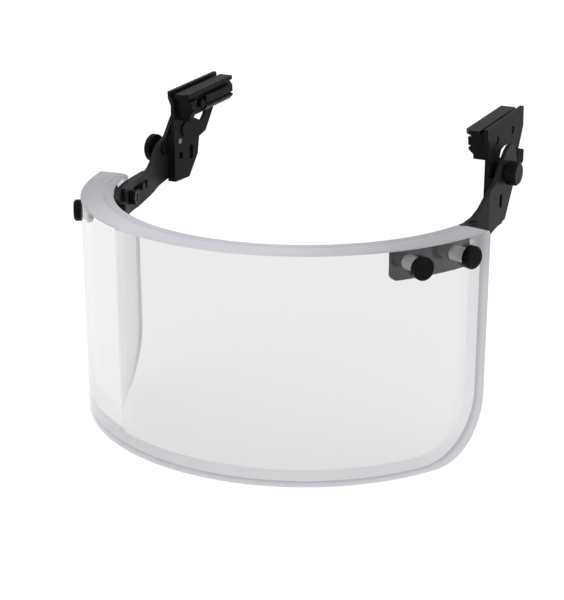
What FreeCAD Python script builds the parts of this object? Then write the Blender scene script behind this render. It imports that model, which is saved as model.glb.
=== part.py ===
"""Clear laminated face shield on two rail mounts, in millimetres, +Z up.

The origin is the middle of the overall box at the visor's bottom edge. The shield faces -Y.
Left and right are the wearer's: the wearer looks along -Y, so left is +X and right is -X.
Every piece is drawn in the arc frame, whose origin is on the axis of the visor's curve, level
with its top edge, and is then placed in the object's frame. Left pieces are drawn, and right
pieces are their mirror images, except for the knobs, which differ from side to side.
"""
import FreeCAD, Part
import math
import os
import Sketcher

os.makedirs("parts", exist_ok=True)
doc = FreeCAD.newDocument("face_shield")

# ---------------------------------------------------------------- driving dimensions
SIZES = {
    # visor: a laminated ring sector
    "visor_radius": 150.0,
    "visor_height": 151.0,
    "visor_half_angle": 80.0,
    "outer_ply": 15.4,
    "interlayer": 0.5,
    "inner_ply": 6.1,
    "top_corner": 5.0,
    "bottom_corner": 43.0,
    "inner_bevel": 5.9,
    # bolts that hold each bracket through the visor
    "bolt_drop": 12.8,
    "front_bolt_angle": 57.0,
    "rear_bolt_angle": 71.7,
    "bolt_radius": 3.0,
    "bolt_head_radius": 7.3,
    "bolt_head_height": 5.0,
    "head_rim": 1.2,
    "sleeve_radius": 4.75,
    "sleeve_gap": 0.05,
    "bolt_gap": 0.1,
    "nut_radius": 5.2,
    "nut_height": 4.6,
    # bracket and arm, both of sheet metal
    "bracket_thickness": 3.0,
    "bracket_front_angle": 52.1,
    "bracket_rear_angle": 79.0,
    "bracket_top_drop": 3.5,
    "bracket_width": 20.5,
    "bracket_corner": 4.0,
    "eye_front_angle": 74.9,
    "eye_rear_angle": 80.6,
    "eye_drop": 9.6,
    "eye_height": 3.4,
    "bracket_tab": 21.0,
    "bend_run": 1.5,
    "bend_inset": 0.6,
    "arm_thickness": 2.8,
    "arm_front_angle": 66.0,
    "arm_outer_x": 130.0,
    "arm_bend_y": 13.0,
    "tab_screw_start": 7.0,
    "tab_screw_pitch": 8.0,
    "tab_screw_drop": 11.0,
    "tab_screw_radius": 1.5,
    "tab_head_radius": 2.7,
    "tab_head_height": 1.6,
    # pivot of the visor on the legs
    "pivot_y": 39.9,
    "pivot_z": 19.0,
    "stud_radius": 3.0,
    "stud_gap": 0.06,
    "stud_reach": 3.0,
    "stud_head_height": 1.2,
    "spacer_radius": 5.5,
    "moving_gap": 0.3,
    "knob_radius": 8.0,
    "knob_thickness": 8.6,
    "cap_radius": 4.6,
    "cap_thickness": 3.6,
    "lock_y": 20.6,
    "lock_z": 7.6,
    "lock_screw_radius": 2.5,
    "lock_collar_radius": 4.5,
    "lock_collar": 3.2,
    "lock_knob_radius": 10.0,
    "lock_knob_thickness": 5.0,
    "lock_nut_radius": 4.0,
    "lock_nut_height": 1.8,
    "lock_tip": 0.3,
    "flute_count": 36,
    "flute_radius": 0.5,
    # leg that hangs from each rail adapter
    "leg_outer_x": 123.3,
    "leg_skin": 2.8,
    "leg_front_y": 25.2,
    "leg_bottom_z": -17.4,
    "flange_wall": 2.6,
    "flange_top_z": 17.0,
    "leg_slot_y": 46.8,
    "leg_slot_z": 0.8,
    "leg_slot_length": 11.0,
    "leg_slot_width": 5.2,
    "leg_slot_depth": 2.0,
    "leg_hole_y": 33.0,
    "leg_hole_z": 0.8,
    "leg_hole_size": 4.8,
    "arm_slot_y": 32.2,
    "arm_slot_z": 1.4,
    "arm_slot_length": 9.5,
    "arm_slot_width": 4.6,
    "plunger_y": 32.1,
    "plunger_z": 11.8,
    "plunger_radius": 2.0,
    "plunger_tip_radius": 0.8,
    "plunger_tip_length": 2.2,
    "bumper_y": 72.0,
    "bumper_z": 21.8,
    "bumper_length": 12.0,
    "bumper_size": 10.0,
    # rail adapter: a bar that slides into a helmet rail
    "adapter_front_y": 21.5,
    "adapter_top_z": 50.0,
    "adapter_pitch": 4.0,
    "adapter_length": 62.0,
    "adapter_inner_x": 107.0,
    "adapter_height": 19.5,
    "flange_width": 10.2,
    "flange_drop": 1.5,
    "flange_thickness": 3.0,
    "undercut": 3.0,
    "groove_low": 4.6,
    "groove_high": 6.0,
    "groove_depth": 1.6,
    "neck_height": 3.4,
    "block_setback": 6.0,
    "clamp_radius": 2.0,
    "clamp_head_radius": 5.5,
    "clamp_head_length": 4.4,
    "clamp_head_rim": 0.8,
    "clamp_drop": 11.0,
    "clamp_depth": 16.0,
    "button_y": 19.5,
    "button_drop": 12.0,
    "button_radius": 3.0,
    "button_proud": 1.2,
    "button_length": 5.0,
    "button_rim": 0.5,
    "button_pin_radius": 1.2,
    "button_pin_length": 2.0,
    "recess_front": 11.0,
    "recess_rear": 6.0,
    "recess_rise": 4.8,
    "recess_rake": 5.5,
    "lock_bore_depth": 10.0,
    "spring_coil_radius": 1.7,
    "spring_wire_radius": 0.28,
    "spring_turns": 5,
    "spring_slack": 0.2,
    "leg_screw_front": 16.0,
    "leg_screw_pitch": 26.5,
    "leg_screw_drop": 11.5,
    "leg_screw_radius": 1.5,
    "leg_screw_head": 2.9,
    "leg_screw_reach": 2.8,
    "leg_screw_sink": 1.8,
    "leg_screw_edge": 0.7,
    "leg_screw_crown": 1.1,
    "toe_drop": 3.6,
}
sheet = doc.addObject("Spreadsheet::Sheet", "Sizes")
for row, (alias, value) in enumerate(SIZES.items(), start=1):
    sheet.set(f"A{row}", alias)
    sheet.set(f"B{row}", str(value))
    sheet.setAlias(f"B{row}", alias)
doc.recompute()


def size(text):
    """Turn aliases in an expression into references to the sheet, longest names first."""
    words = []
    word = ""
    for letter in text + " ":
        if letter.isalnum() or letter == "_":
            word += letter
            continue
        words.append(f"Sizes.{word}" if word in SIZES else word)
        words.append(letter)
        word = ""
    return "".join(words).strip()


def value_of(text):
    """Number that an expression over the sheet stands for."""
    return float(sheet.evalExpression(size(text)))


# ---------------------------------------------------------------- places worked out from the sizes
VISOR_INNER = "(visor_radius - outer_ply - interlayer - inner_ply)"
BRACKET_INNER = f"({VISOR_INNER} - bracket_thickness)"
ARM_INNER = f"({BRACKET_INNER} - arm_thickness)"
REAR_REACH = ("(adapter_front_y + (adapter_length + clamp_head_length) * cos(adapter_pitch * 1deg)"
              " + (clamp_drop + clamp_head_radius) * sin(adapter_pitch * 1deg))")
ARC_AXIS_Y = f"((visor_radius - {REAR_REACH}) / 2)"
SKIN_INNER = "(leg_outer_x - leg_skin)"
ARM_INNER_X = "(arm_outer_x - arm_thickness)"


# ---------------------------------------------------------------- drawing helpers
def bind(thing, **expressions):
    """Bind properties to expressions over the sheet; a double underscore stands for a dot."""
    for path, text in expressions.items():
        thing.setExpression(path.replace("__", "."), size(text))


def place_in_arc_frame(thing):
    bind(thing, Placement__Base__y=ARC_AXIS_Y, Placement__Base__z="visor_height")


def origin_part(body, role):
    for feature in body.Origin.OriginFeatures:
        if feature.Role == role:
            return feature
    raise ValueError(role)


def sketch_in(body, name, role, offset="0"):
    sketch = body.newObject("Sketcher::SketchObject", name)
    sketch.AttachmentSupport = (origin_part(body, role), "")
    sketch.MapMode = "FlatFace"
    bind(sketch, AttachmentOffset__Base__z=offset)
    return sketch


def hold_point(sketch, geometry, point, across, up):
    """Hold one point of a sketch at two expressions, measured from the sketch's origin."""
    for kind, text in (("DistanceX", across), ("DistanceY", up)):
        rule = Sketcher.Constraint(kind, -1, 1, geometry, point, value_of(text))
        index = sketch.addConstraint(rule)
        name = f"place{index}"
        sketch.renameConstraint(index, name)
        sketch.setExpression(f"Constraints.{name}", size(text))


def draw_outline(sketch, corners):
    """Close a polygon through corners, each a pair of expressions."""
    spots = [FreeCAD.Vector(value_of(across), value_of(up), 0) for across, up in corners]
    first = sketch.GeometryCount
    count = len(corners)
    for i in range(count):
        sketch.addGeometry(Part.LineSegment(spots[i], spots[(i + 1) % count]), False)
    for i in range(count):
        join = Sketcher.Constraint("Coincident", first + i, 2, first + (i + 1) % count, 1)
        sketch.addConstraint(join)
    for i, (across, up) in enumerate(corners):
        hold_point(sketch, first + i, 1, across, up)


def draw_circle(sketch, across, up, radius):
    centre = FreeCAD.Vector(value_of(across), value_of(up), 0)
    index = sketch.GeometryCount
    sketch.addGeometry(Part.Circle(centre, FreeCAD.Vector(0, 0, 1), value_of(radius)), False)
    rule = sketch.addConstraint(Sketcher.Constraint("Radius", index, value_of(radius)))
    sketch.renameConstraint(rule, f"radius{rule}")
    sketch.setExpression(f"Constraints.radius{rule}", size(radius))
    hold_point(sketch, index, 3, across, up)


def new_body(label):
    body = doc.addObject("PartDesign::Body", label)
    body.Label = label
    return body


def pad(body, sketch, length, backwards=False):
    feature = body.newObject("PartDesign::Pad", f"{sketch.Name}_pad")
    feature.Profile = sketch
    feature.Reversed = backwards
    bind(feature, Length=length)
    doc.recompute()
    return feature


def pocket(body, sketch, length, backwards=False):
    """Cut a sketch into the body and make sure that something was cut."""
    before = body.Shape.Volume
    feature = body.newObject("PartDesign::Pocket", f"{sketch.Name}_cut")
    feature.Profile = sketch
    feature.Reversed = backwards
    bind(feature, Length=length)
    doc.recompute()
    if not body.Shape.Volume < before:
        raise ValueError(f"{feature.Name} cuts nothing")
    return feature


def edges_where(shape, wanted):
    return [f"Edge{i}" for i, edge in enumerate(shape.Edges, start=1) if wanted(edge)]


def round_edges(body, kind, wanted, radius):
    """Fillet or chamfer the edges of the body's tip that the wanted test picks."""
    base = body.Tip
    names = edges_where(base.Shape, wanted)
    if not names:
        raise ValueError(f"{body.Label} has no edge to round")
    feature = body.newObject(f"PartDesign::{kind}", f"{body.Name}_{kind}")
    feature.Base = (base, names)
    bind(feature, **{"Radius" if kind == "Fillet" else "Size": radius})
    doc.recompute()
    return feature


def along(edge, axis):
    """Is a straight edge parallel to a unit axis?"""
    if edge.Curve.TypeId != "Part::GeomLine":
        return False
    return abs(abs(edge.Curve.Direction.dot(axis)) - 1) < 1e-4


AXIS_X = FreeCAD.Vector(1, 0, 0)
AXIS_Y = FreeCAD.Vector(0, 1, 0)
AXIS_Z = FreeCAD.Vector(0, 0, 1)


def turned(label, stations, bore="0", bore_end=None):
    """Solid of revolution about local +X: stations are (distance along, radius) pairs.

    A bore goes right through, or ends blind at bore_end.
    """
    body = new_body(label)
    sketch = sketch_in(body, f"{label}_profile", "XY_Plane")
    corners = [(stations[0][0], bore)] + list(stations)
    if bore_end is None:
        corners.append((stations[-1][0], bore))
    else:
        corners += [(stations[-1][0], "0"), (bore_end, "0"), (bore_end, bore)]
    draw_outline(sketch, corners)
    feature = body.newObject("PartDesign::Revolution", f"{label}_turn")
    feature.Profile = sketch
    feature.ReferenceAxis = (sketch, ["H_Axis"])
    feature.Angle = 360
    doc.recompute()
    return body


def head_stations(start, finish, radius):
    """Stations of a cylinder whose outer rim is bevelled."""
    return [(start, radius), (f"{finish} - head_rim", radius), (finish, f"{radius} - head_rim")]


def set_radially(thing, angle, drop):
    """Point local +X outwards from the visor's axis, at an angle from the front."""
    thing.Placement = FreeCAD.Placement(FreeCAD.Vector(), FreeCAD.Rotation(AXIS_Z, -1))
    bind(thing, Placement__Rotation__Angle=f"{angle} - 90", Placement__Base__y=ARC_AXIS_Y,
         Placement__Base__z=f"visor_height - {drop}")


def set_across(thing, along_y, along_z):
    """Put local +X on a line across the object at a place in the arc frame."""
    bind(thing, Placement__Base__y=f"{ARC_AXIS_Y} + {along_y}",
         Placement__Base__z=f"visor_height + {along_z}")


def set_in_adapter(thing, from_front="0", drop="0", across="0", upright_axis=False):
    """Place a piece in the adapter's frame: its front top edge, pitched up to the rear.

    A round piece drawn about local +Z has its axis laid along +X instead.
    """
    turn = FreeCAD.Rotation(AXIS_Y, 90) if upright_axis else FreeCAD.Rotation(AXIS_X, 1)
    thing.Placement = FreeCAD.Placement(FreeCAD.Vector(), turn)
    if not upright_axis:
        bind(thing, Placement__Rotation__Angle="adapter_pitch")
    cosine = "cos(adapter_pitch * 1deg)"
    sine = "sin(adapter_pitch * 1deg)"
    bind(thing,
         Placement__Base__x=across,
         Placement__Base__y=f"{ARC_AXIS_Y} + adapter_front_y + {from_front} * {cosine} + {drop} * {sine}",
         Placement__Base__z=f"visor_height + adapter_top_z + {from_front} * {sine} - {drop} * {cosine}")


def boolean(kind, label, base, tool):
    result = doc.addObject(f"Part::{kind}", label)
    result.Label = label
    result.Base = base
    result.Tool = tool
    doc.recompute()
    return result


def grouped(label, things):
    group = doc.addObject("Part::Compound", label)
    group.Label = label
    group.Links = things
    doc.recompute()
    return group


NODES = []


def keep(thing):
    NODES.append(thing)
    return thing


def mirror_image(label, source):
    right = doc.addObject("Part::Mirroring", label)
    right.Label = label
    right.Source = source
    right.Normal = AXIS_X
    doc.recompute()
    return right


def keep_pair(name, left):
    """Keep a left piece and its mirror image on the right."""
    left.Label = f"left_{name}"
    keep(left)
    keep(mirror_image(f"right_{name}", left))


# ---------------------------------------------------------------- visor plies
def radial_holes(name, radius):
    """Cutters for the four bolts, along radii of the visor."""
    cutters = []
    for angle in ("front_bolt_angle", "rear_bolt_angle"):
        for side in ("", "-"):
            cutter = turned(f"{name}_{angle}{'m' if side else 'p'}",
                            [(f"{VISOR_INNER} / 2", radius), ("visor_radius + bolt_head_height", radius)])
            set_radially(cutter, f"{side}{angle}", "bolt_drop")
            cutters.append(cutter)
    return grouped(name, cutters)


def ring(label, outer, inner, angle, midplane, low, high):
    """Part of a ring about the visor's axis, between two radii and two levels."""
    body = new_body(label)
    sketch = sketch_in(body, f"{label}_section", "YZ_Plane")
    draw_outline(sketch, [(f"-{outer}", low), (f"-{inner}", low), (f"-{inner}", high), (f"-{outer}", high)])
    bend = body.newObject("PartDesign::Revolution", f"{label}_bend")
    bend.Profile = sketch
    bend.ReferenceAxis = (sketch, ["V_Axis"])
    bend.Midplane = midplane
    bind(bend, Angle=angle)
    doc.recompute()
    return body


def visor_blank():
    """The whole laminate in one piece, with its rounded corners and bolt holes."""
    body = ring("visor_blank", "visor_radius", VISOR_INNER, "2 * visor_half_angle", True,
                "-visor_height", "0")
    def corner_at(height):
        return lambda edge: edge.Curve.TypeId == "Part::GeomLine" and abs(edge.BoundBox.ZLength) < 1e-3 \
            and abs(edge.BoundBox.Center.z - height) < 1e-3

    def at_inner_rim(edge):
        inner = value_of(VISOR_INNER)
        return edge.BoundBox.ZMin < -1 \
            and all(abs(math.hypot(v.X, v.Y) - inner) < 1e-2 for v in edge.Vertexes)
    round_edges(body, "Fillet", corner_at(-value_of("visor_height")), "bottom_corner")
    round_edges(body, "Chamfer", at_inner_rim, "inner_bevel")
    round_edges(body, "Fillet", corner_at(0), "top_corner")
    place_in_arc_frame(body)
    return boolean("Cut", "visor_drilled", body, radial_holes("sleeve_holes", "sleeve_radius + sleeve_gap"))


def ply(label, outer, inner):
    """One sheet of the laminate: the drilled blank between two radii."""
    shell = ring(f"{label}_shell", outer, inner, "360", False, "-2 * visor_height", "visor_height")
    place_in_arc_frame(shell)
    keep(boolean("Common", label, blank, shell))


blank = visor_blank()
ply("visor_outer_ply", "(visor_radius + 1)", "(visor_radius - outer_ply)")
ply("visor_interlayer", "(visor_radius - outer_ply)", "(visor_radius - outer_ply - interlayer)")
ply("visor_inner_ply", "(visor_radius - outer_ply - interlayer)", f"({VISOR_INNER} - 1)")


# ---------------------------------------------------------------- bracket and arm
def wrap(label, outer, inner, front, rear, bottom, top, corner=None):
    """Strip bent to the visor's curve between two angles, with rounded front corners if given."""
    body = ring(label, outer, inner, f"{rear} - {front}", False, bottom, top)
    if corner:
        round_edges(body, "Fillet", lambda edge: edge.Curve.TypeId == "Part::GeomLine"
                    and abs(edge.BoundBox.ZLength) < 1e-3 and abs(edge.BoundBox.Center.x) < 1e-3, corner)
    body.Placement = FreeCAD.Placement(FreeCAD.Vector(), FreeCAD.Rotation(AXIS_Z, 1))
    bind(body, Placement__Rotation__Angle=front)
    place_in_arc_frame(body)
    return body


def arc_point(radius, angle, run="0"):
    """Point on a radius at an angle from the front, run on along the tangent."""
    across = f"({radius}) * sin({angle} * 1deg) + ({run}) * cos({angle} * 1deg)"
    back = f"-({radius}) * cos({angle} * 1deg) + ({run}) * sin({angle} * 1deg)"
    return across, back


def bracket():
    """Plate on the visor's inner face, which runs straight on behind the visor's end."""
    low = "-(bracket_top_drop + bracket_width)"
    high = "-bracket_top_drop"
    curved = wrap("bracket_curve", VISOR_INNER, BRACKET_INNER,
                  "bracket_front_angle", "bracket_rear_angle", low, high, "bracket_corner")
    tab = new_body("bracket_tail")
    sketch = sketch_in(tab, "bracket_tail_section", "XY_Plane", low)
    rear = "bracket_rear_angle"
    draw_outline(sketch, [arc_point(VISOR_INNER, rear), arc_point(VISOR_INNER, rear, "bracket_tab"),
                          arc_point(BRACKET_INNER, rear, "bracket_tab"), arc_point(BRACKET_INNER, rear)])
    pad(tab, sketch, "bracket_width")
    place_in_arc_frame(tab)
    joined = boolean("Fuse", "bracket_blank", curved, tab)
    holed = boolean("Cut", "bracket_bolt_cut", joined, bolt_holes)
    eyed = boolean("Cut", "bracket_eye_cut", holed, eye)
    return boolean("Cut", "left_visor_bracket", eyed, tab_screw_holes)


# Side outline of the arm, from the top of its head round the back: the head is held to the pivot.
ARM_SIDE = [("pivot_y + 4.1", "pivot_z + 17"), ("pivot_y + 10.1", "pivot_z + 17"),
            ("pivot_y + 16.1", "pivot_z + 11.5"), ("pivot_y + 18.1", "pivot_z - 1"),
            ("pivot_y + 12.7", "pivot_z - 13"), ("pivot_y + 1.5", "-13.1"),
            ("23.6", "-16"), ("2.9", "-20.7"), ("-10", "-22.5"),
            ("-24", "-(bracket_top_drop + bracket_width)"),
            ("-60", "-(bracket_top_drop + bracket_width)"),
            ("-60", "-bracket_top_drop"), ("-12", "-bracket_top_drop"), ("-3", "-1.6"),
            ("4", "2.6"), ("9", "7.4"), ("15", "12"), ("24.5", "16.4"),
            ("pivot_y - 6.9", "pivot_z + 8.5"), ("pivot_y - 1", "pivot_z + 14.2")]


def arm():
    """Sheet arm: flat at the pivot, stepped in behind the visor, wrapped on the bracket."""
    curved = wrap("arm_curve", BRACKET_INNER, ARM_INNER, "arm_front_angle", "bracket_rear_angle",
                  "-visor_height / 4", "visor_height / 4")
    strip = new_body("arm_strip")
    sketch = sketch_in(strip, "arm_strip_section", "XY_Plane", "-visor_height / 4")
    rear = "bracket_rear_angle"
    run = "(bracket_tab + bend_run)"
    draw_outline(sketch, [arc_point(BRACKET_INNER, rear), arc_point(BRACKET_INNER, rear, run),
                          ("arm_outer_x", "arm_bend_y"), ("arm_outer_x", "70"),
                          (ARM_INNER_X, "70"), (ARM_INNER_X, "arm_bend_y + bend_inset"),
                          arc_point(ARM_INNER, rear, f"{run} + bend_inset"), arc_point(ARM_INNER, rear)])
    pad(strip, sketch, "visor_height / 2")
    place_in_arc_frame(strip)
    bent = boolean("Fuse", "arm_bent", curved, strip)
    side = new_body("arm_side")
    outline = sketch_in(side, "arm_side_outline", "YZ_Plane", "arm_outer_x / 2")
    draw_outline(outline, ARM_SIDE)
    pad(side, outline, "arm_outer_x")
    cuts = sketch_in(side, "arm_side_holes", "YZ_Plane", "arm_outer_x / 2")
    draw_circle(cuts, "pivot_y", "pivot_z", "stud_radius + stud_gap")
    draw_slot(cuts, "arm_slot_y", "arm_slot_z", "arm_slot_length", "arm_slot_width")
    pocket(side, cuts, "arm_outer_x", backwards=True)
    place_in_arc_frame(side)
    shaped = boolean("Common", "arm_shaped", bent, side)
    holed = boolean("Cut", "arm_bolt_cut", shaped, bolt_holes)
    eyed = boolean("Cut", "arm_eye_cut", holed, eye)
    return boolean("Cut", "left_visor_arm", eyed, tab_screw_holes)


def draw_slot(sketch, across, up, length, width):
    """Upright slot with bevelled ends, as an eight-sided outline."""
    half = f"{width} / 2"
    reach = f"{length} / 2"
    bevel = f"{width} / 3.4"
    corners = []
    for side, end in (("-", "-"), ("+", "-"), ("+", "+"), ("-", "+")):
        other = "+" if side == "-" else "-"
        flank = (f"{across} {side} {half}", f"{up} {end} {reach} {'+' if end == '-' else '-'} {bevel}")
        tip = (f"{across} {side} {half} {other} {bevel}", f"{up} {end} {reach}")
        corners += [flank, tip] if (side, end) in (("-", "-"), ("+", "+")) else [tip, flank]
    draw_outline(sketch, corners)


bolt_holes = radial_holes("bolt_holes", "bolt_radius + bolt_gap")
def eye_cutter():
    """Cutter for the slot through bracket and arm, along the visor's curve."""
    body = ring("bracket_eye", f"({VISOR_INNER} + 5)", f"({ARM_INNER} - 5)",
                "eye_rear_angle - eye_front_angle", False,
                "-(eye_drop + eye_height / 2)", "-(eye_drop - eye_height / 2)")
    body.Placement = FreeCAD.Placement(FreeCAD.Vector(), FreeCAD.Rotation(AXIS_Z, 1))
    bind(body, Placement__Rotation__Angle="eye_front_angle")
    place_in_arc_frame(body)
    return body


eye = eye_cutter()


def tab_screw_place(index):
    """Place along the bracket's tail of a small screw, as a run from the curve's end."""
    return f"(tab_screw_start + {index} * tab_screw_pitch)"


def set_on_tab(thing, run):
    """Point local +X outwards at the bracket's tail, a run behind the end of its curve."""
    across, back = arc_point("0", "bracket_rear_angle", run)
    set_radially(thing, "bracket_rear_angle", "tab_screw_drop")
    bind(thing, Placement__Base__x=across, Placement__Base__y=f"{ARC_AXIS_Y} + {back}")


holes = []
for i in range(2):
    cutter = turned(f"tab_screw_hole{i}", [(f"{ARM_INNER} - 5", "tab_screw_radius + bolt_gap"),
                                           (f"{VISOR_INNER} + 5", "tab_screw_radius + bolt_gap")])
    set_on_tab(cutter, tab_screw_place(i))
    holes.append(cutter)
tab_screw_holes = grouped("tab_screw_holes", holes)
keep_pair("visor_bracket", bracket())
left_arm = keep(arm())
lock_hole = turned("lock_hole", [(f"{ARM_INNER_X} - 1", "lock_screw_radius + bolt_gap"),
                                 ("arm_outer_x + 1", "lock_screw_radius + bolt_gap")])
set_across(lock_hole, "lock_y", "lock_z")
keep(boolean("Cut", "right_visor_arm", mirror_image("right_arm_blank", left_arm),
             mirror_image("right_lock_hole", lock_hole)))

screws = []
for i in range(2):
    screw = turned(f"tab_screw{i}", [(f"{ARM_INNER} - tab_head_height", "tab_head_radius"),
                                     (ARM_INNER, "tab_head_radius"), (ARM_INNER, "tab_screw_radius"),
                                     (VISOR_INNER, "tab_screw_radius")])
    set_on_tab(screw, tab_screw_place(i))
    screws.append(screw)
keep_pair("arm_screws", grouped("left_arm_screws", screws))

# ---------------------------------------------------------------- visor bolts, sleeves and nuts
bolts = []
sleeves = []
nuts = []
for angle, seat in (("front_bolt_angle", BRACKET_INNER), ("rear_bolt_angle", ARM_INNER)):
    nut_face = f"(sqrt({seat} ^ 2 - nut_radius ^ 2))"
    tip = f"({nut_face} - nut_height + 0.4)"
    bolt = turned(f"bolt_{angle}", [(tip, "bolt_radius"), ("visor_radius", "bolt_radius")]
                  + head_stations("visor_radius", "(visor_radius + bolt_head_height)", "bolt_head_radius"))
    sleeve = turned(f"sleeve_{angle}", [(VISOR_INNER, "sleeve_radius"),
                                        ("sqrt(visor_radius ^ 2 - sleeve_radius ^ 2)", "sleeve_radius")],
                    "bolt_radius + bolt_gap")
    nut = new_body(f"nut_{angle}")
    flats = sketch_in(nut, f"nut_{angle}_outline", "YZ_Plane", f"{nut_face} - nut_height")
    draw_outline(flats, [(f"nut_radius * cos({60 * k}deg)", f"nut_radius * sin({60 * k}deg)")
                         for k in range(6)])
    draw_circle(flats, "0", "0", "bolt_radius + bolt_gap")
    pad(nut, flats, "nut_height")
    for thing, store in ((bolt, bolts), (sleeve, sleeves), (nut, nuts)):
        set_radially(thing, angle, "bolt_drop")
        store.append(thing)
keep_pair("visor_bolts", grouped("left_visor_bolts", bolts))
keep_pair("bolt_sleeves", grouped("left_bolt_sleeves", sleeves))
keep_pair("bolt_nuts", grouped("left_bolt_nuts", nuts))


# ---------------------------------------------------------------- rail adapter
def adapter_point(from_front, drop):
    """Side place of a point of the adapter, given from its front and down from its top."""
    cosine = "cos(adapter_pitch * 1deg)"
    sine = "sin(adapter_pitch * 1deg)"
    return (f"(adapter_front_y + ({from_front}) * {cosine} + ({drop}) * {sine})",
            f"(adapter_top_z + ({from_front}) * {sine} - ({drop}) * {cosine})")


def leg_screw_run(index):
    """Run from the adapter's front to one of the screws that hold it on the leg."""
    return f"(leg_screw_front + {index} * leg_screw_pitch)"


def adapter():
    """Extruded bar with a flange, an undercut neck and a lower block."""
    body = new_body("left_rail_adapter")
    under = "(flange_drop + flange_thickness)"
    section = sketch_in(body, "adapter_section", "XZ_Plane")
    flange_end = "(adapter_inner_x + flange_width)"
    waist = "(adapter_inner_x + undercut)"
    draw_outline(section, [
        ("adapter_inner_x", f"-{under}"), ("adapter_inner_x", "-flange_drop"),
        (flange_end, "-flange_drop"), (flange_end, f"-{under}"), (SKIN_INNER, f"-{under}"),
        (SKIN_INNER, "-adapter_height"), (f"{waist}", "-adapter_height"),
        ("adapter_inner_x", "-(adapter_height - undercut)"),
        ("adapter_inner_x", "-(adapter_height - groove_low)"),
        ("(adapter_inner_x + groove_depth)", "-(adapter_height - groove_low)"),
        ("(adapter_inner_x + groove_depth)", "-(adapter_height - groove_high)"),
        ("adapter_inner_x", "-(adapter_height - groove_high)"),
        ("adapter_inner_x", f"-({under} + neck_height)"), (waist, f"-({under} + neck_height)"),
        (waist, f"-{under}")])
    pad(body, section, "adapter_length", backwards=True)
    front = sketch_in(body, "adapter_front_step", "YZ_Plane")
    draw_outline(front, [("-5", f"-{under}"), ("block_setback - 1", f"-{under}"),
                         ("block_setback + 1", "-adapter_height"),
                         ("block_setback + 1", "-2 * adapter_height"), ("-5", "-2 * adapter_height")])
    pocket(body, front, "2 * leg_outer_x", backwards=True)
    recess = sketch_in(body, "button_recess", "YZ_Plane", "adapter_inner_x")
    draw_outline(recess, [("button_y - recess_front", "-(adapter_height + 1)"),
                          ("button_y + recess_rear", "-(adapter_height + 1)"),
                          ("button_y + recess_rear", "-(button_drop - recess_rise)"),
                          ("button_y - recess_rake", "-(button_drop - recess_rise)")])
    pocket(body, recess, "button_radius", backwards=True)
    toe = sketch_in(body, "adapter_toe", "YZ_Plane", waist)
    draw_outline(toe, [("block_setback + 1", "-(adapter_height - 1)"),
                       ("block_setback + 2", "-(adapter_height + toe_drop)"),
                       ("block_setback + 5", "-(adapter_height + toe_drop - 1)"),
                       ("block_setback + 9", "-(adapter_height - 1)")])
    pad(body, toe, f"{SKIN_INNER} - {waist}")
    holes = sketch_in(body, "adapter_screw_holes", "YZ_Plane", f"{SKIN_INNER} - leg_screw_reach - stud_gap")
    for index in range(2):
        draw_circle(holes, leg_screw_run(index), "-leg_screw_drop", "leg_screw_radius")
    pocket(body, holes, "2 * leg_screw_reach", backwards=True)
    bore = sketch_in(body, "button_bore", "YZ_Plane", "adapter_inner_x")
    draw_circle(bore, "button_y", "-button_drop", "button_radius + stud_gap")
    pocket(body, bore, "lock_bore_depth", backwards=True)
    clamp = sketch_in(body, "clamp_bore", "XZ_Plane", "-adapter_length")
    draw_circle(clamp, f"({SKIN_INNER} - clamp_head_radius)", "-clamp_drop", "clamp_radius + stud_gap")
    pocket(body, clamp, "clamp_depth + 1", backwards=True)

    def at_nose(edge):
        middle = edge.BoundBox.Center
        return along(edge, AXIS_Z) and abs(middle.y) < 1e-3 \
            and abs(middle.x - value_of("adapter_inner_x")) < 1e-3
    round_edges(body, "Chamfer", at_nose, "flange_thickness")
    set_in_adapter(body)
    return body


keep_pair("rail_adapter", adapter())

clamp_x = f"({SKIN_INNER} - clamp_head_radius)"
clamp_screw = new_body("left_clamp_screw")
shank = sketch_in(clamp_screw, "clamp_shank", "XZ_Plane", "-(adapter_length - clamp_depth)")
draw_circle(shank, clamp_x, "-clamp_drop", "clamp_radius")
pad(clamp_screw, shank, "clamp_depth", backwards=True)
head = sketch_in(clamp_screw, "clamp_head", "XZ_Plane", "-(adapter_length + moving_gap / 2)")
draw_circle(head, clamp_x, "-clamp_drop", "clamp_head_radius")
pad(clamp_screw, head, "clamp_head_length - moving_gap / 2", backwards=True)
gap_ring = sketch_in(clamp_screw, "clamp_collar", "XZ_Plane", "-(adapter_length - 0.1)")
draw_circle(gap_ring, clamp_x, "-clamp_drop", "clamp_radius")
pad(clamp_screw, gap_ring, "moving_gap", backwards=True)


def at_head_rim(edge):
    return edge.Curve.TypeId == "Part::GeomCircle" \
        and abs(edge.Curve.Radius - value_of("clamp_head_radius")) < 1e-3 \
        and abs(edge.BoundBox.Center.y - value_of("adapter_length + clamp_head_length")) < 1e-2


round_edges(clamp_screw, "Chamfer", at_head_rim, "clamp_head_rim")
set_in_adapter(clamp_screw)
keep_pair("clamp_screw", clamp_screw)

button_stations = [("-button_proud", "button_radius - button_rim"),
                   ("-button_proud + button_rim", "button_radius"),
                   ("button_length", "button_radius"), ("button_length", "button_pin_radius"),
                   ("button_length + button_pin_length", "button_pin_radius")]
button = turned("left_lock_button", button_stations)
set_in_adapter(button, "button_y", "button_drop", "adapter_inner_x")
keep_pair("lock_button", button)

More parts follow.
